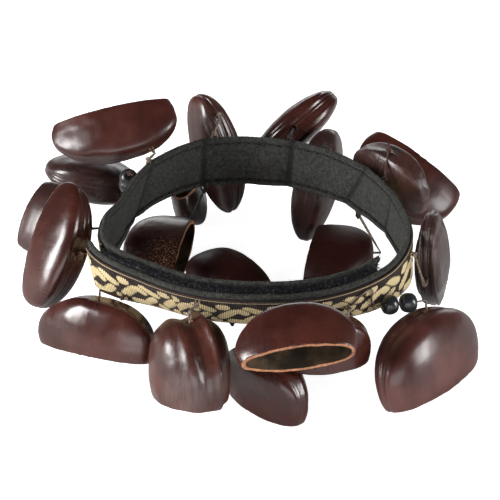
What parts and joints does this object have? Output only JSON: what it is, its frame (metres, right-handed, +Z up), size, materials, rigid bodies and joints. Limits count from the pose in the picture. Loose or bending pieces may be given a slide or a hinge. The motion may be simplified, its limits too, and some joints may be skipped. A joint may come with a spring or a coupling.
{
  "type": "ankle shaker",
  "caption": "Rattle anklet: a cotton strap closed by hook and loop, faced with a braid-pattern ribbon and hung round with halved hollow nut shells on knotted cords.",
  "frame": {"origin": "on the floor under the centre of the strap loop, on the axis of the ankle", "axes": "+Z up along the ankle; +X to the viewer's right and -Y towards the viewer of the picture, so the overlapped ends of the strap are at -Y"},
  "size_m": [0.1485, 0.1663, 0.0613],
  "materials": {
    "nut_shell": "lacquered satin",
    "black_cotton": "matt weave",
    "jacquard_ribbon": "woven gold braid on dark brown",
    "hook_and_loop": "fuzzy matt",
    "waxed_cord": "waxed",
    "black_bead": "satin"
  },
  "bodies": {
    "strap": {"strap": "black_cotton", "ribbon": "jacquard_ribbon", "loop_strip": "hook_and_loop", "hook_strip": "hook_and_loop"},
    "tab": {"tab": "black_cotton", "tab_ribbon": "jacquard_ribbon", "tab_hook": "hook_and_loop"},
    "nut_front_left": {"shell_front_left": "nut_shell", "tie_front_left": "waxed_cord"},
    "nut_front_ridged": {"shell_front_ridged": "nut_shell", "tie_front_ridged": "waxed_cord"},
    "nut_front_open": {"shell_front_open": "nut_shell", "tie_front_open": "waxed_cord"},
    "nut_front_low": {"shell_front_low": "nut_shell", "tie_front_low": "waxed_cord"},
    "nut_front_right": {"shell_front_right": "nut_shell", "tie_front_right": "waxed_cord"},
    "nut_corner_right": {"bead_corner_right_1": "black_bead", "bead_corner_right_2": "black_bead", "shell_corner_right": "nut_shell", "tie_corner_right": "waxed_cord"},
    "nut_right_side": {"shell_right_side": "nut_shell", "tie_right_side": "waxed_cord"},
    "nut_right_back_high": {"shell_right_back_high": "nut_shell", "tie_right_back_high": "waxed_cord"},
    "nut_right_back_rough": {"shell_right_back_rough": "nut_shell", "tie_right_back_rough": "waxed_cord"},
    "nut_back_right_small": {"shell_back_right_small": "nut_shell", "tie_back_right_small": "waxed_cord"},
    "nut_back_tall": {"shell_back_tall": "nut_shell", "tie_back_tall": "waxed_cord"},
    "nut_back_keel": {"shell_back_keel": "nut_shell", "tie_back_keel": "waxed_cord"},
    "nut_left_back_high": {"shell_left_back_high": "nut_shell", "tie_left_back_high": "waxed_cord"},
    "nut_left_back_low": {"bead_left_back_low_1": "black_bead", "bead_left_back_low_2": "black_bead", "shell_left_back_low": "nut_shell", "tie_left_back_low": "waxed_cord"},
    "nut_left_far": {"shell_left_far": "nut_shell", "tie_left_far": "waxed_cord"},
    "nut_left_tall": {"shell_left_tall": "nut_shell", "tie_left_tall": "waxed_cord"},
    "nut_inner_left": {"shell_inner_left": "nut_shell", "tie_inner_left": "waxed_cord"},
    "nut_inner_front": {"shell_inner_front": "nut_shell", "tie_inner_front": "waxed_cord"},
    "nut_inner_right": {"shell_inner_right": "nut_shell", "tie_inner_right": "waxed_cord"},
    "nut_under_back": {"shell_under_back": "nut_shell", "tie_under_back": "waxed_cord"}
  },
  "joints": [
    {"name": "tab_peel", "type": "hinge", "parent": "strap", "child": "tab", "pos_m": [-0.0334, -0.0378, 0.0425], "axis": [0, 0, 1], "range_deg": [0, 30]},
    {"name": "swing_front_left", "type": "hinge", "parent": "tab", "child": "nut_front_left", "pos_m": [-0.0422, -0.0276, 0.0307], "axis": [-0.7777, 0.6287, 0], "range_deg": [0, 40]},
    {"name": "swing_front_ridged", "type": "hinge", "parent": "strap", "child": "nut_front_ridged", "pos_m": [-0.0188, -0.0454, 0.0389], "axis": [-0.9464, 0.3231, 0], "range_deg": [0, 40]},
    {"name": "swing_front_open", "type": "hinge", "parent": "strap", "child": "nut_front_open", "pos_m": [0.0095, -0.0469, 0.0373], "axis": [-0.994, -0.1096, 0], "range_deg": [0, 20]},
    {"name": "swing_front_low", "type": "hinge", "parent": "strap", "child": "nut_front_low", "pos_m": [-0.0014, -0.0412, 0.0279], "axis": [-0.9993, 0.0367, 0], "range_deg": [-15, 0]},
    {"name": "swing_front_right", "type": "hinge", "parent": "strap", "child": "nut_front_right", "pos_m": [0.0276, -0.04, 0.0342], "axis": [-0.8644, -0.5028, 0], "range_deg": [0, 15]},
    {"name": "swing_corner_right", "type": "hinge", "parent": "strap", "child": "nut_corner_right", "pos_m": [0.0357, -0.0347, 0.0319], "axis": [-0.7245, -0.6892, 0], "range_deg": [0, 15]},
    {"name": "swing_right_side", "type": "hinge", "parent": "strap", "child": "nut_right_side", "pos_m": [0.0484, -0.0211, 0.0428], "axis": [-0.2735, -0.9619, 0], "range_deg": [0, 40]},
    {"name": "swing_right_back_high", "type": "hinge", "parent": "strap", "child": "nut_right_back_high", "pos_m": [0.0333, 0.0322, 0.0264], "axis": [0.563, -0.8265, 0], "range_deg": [0, 15]},
    {"name": "swing_right_back_rough", "type": "hinge", "parent": "strap", "child": "nut_right_back_rough", "pos_m": [0.0414, 0.0257, 0.044], "axis": [0.4312, -0.9023, 0], "range_deg": [0, 15]},
    {"name": "swing_back_right_small", "type": "hinge", "parent": "strap", "child": "nut_back_right_small", "pos_m": [0.0226, 0.0429, 0.0476], "axis": [0.7831, -0.6219, 0], "range_deg": [0, 20]},
    {"name": "swing_back_tall", "type": "hinge", "parent": "strap", "child": "nut_back_tall", "pos_m": [0.0109, 0.0489, 0.0476], "axis": [0.9313, -0.3642, 0], "range_deg": [0, 40]},
    {"name": "swing_back_keel", "type": "hinge", "parent": "strap", "child": "nut_back_keel", "pos_m": [-0.0145, 0.0511, 0.0476], "axis": [0.9811, 0.1936, 0], "range_deg": [0, 40]},
    {"name": "swing_left_back_high", "type": "hinge", "parent": "strap", "child": "nut_left_back_high", "pos_m": [-0.036, 0.0322, 0.0477], "axis": [0.5038, 0.8638, 0], "range_deg": [0, 40]},
    {"name": "swing_left_back_low", "type": "hinge", "parent": "strap", "child": "nut_left_back_low", "pos_m": [-0.0421, 0.0272, 0.0454], "axis": [0.3426, 0.9395, 0], "range_deg": [0, 15]},
    {"name": "swing_left_far", "type": "hinge", "parent": "strap", "child": "nut_left_far", "pos_m": [-0.0491, 0.0067, 0.0364], "axis": [0.4099, 0.9121, 0], "range_deg": [0, 25]},
    {"name": "swing_left_tall", "type": "hinge", "parent": "strap", "child": "nut_left_tall", "pos_m": [-0.0516, -0.0102, 0.0367], "axis": [0.0237, 0.9997, 0], "range_deg": [0, 25]},
    {"name": "swing_inner_left", "type": "hinge", "parent": "strap", "child": "nut_inner_left", "pos_m": [-0.0383, 0.037, 0.0303], "axis": [0.5714, 0.8207, 0], "range_deg": [0, 25]},
    {"name": "swing_inner_front", "type": "hinge", "parent": "strap", "child": "nut_inner_front", "pos_m": [-0.0081, -0.0359, 0.0266], "axis": [-0.9906, 0.1368, 0], "range_deg": [0, 10]},
    {"name": "swing_inner_right", "type": "hinge", "parent": "strap", "child": "nut_inner_right", "pos_m": [0.0297, 0.0413, 0.03], "axis": [0.6919, -0.722, 0], "range_deg": [0, 10]},
    {"name": "swing_under_back", "type": "hinge", "parent": "strap", "child": "nut_under_back", "pos_m": [-0.0182, 0.0498, 0.0264], "axis": [0.932, 0.3625, 0], "range_deg": [0, 20]}
  ]
}
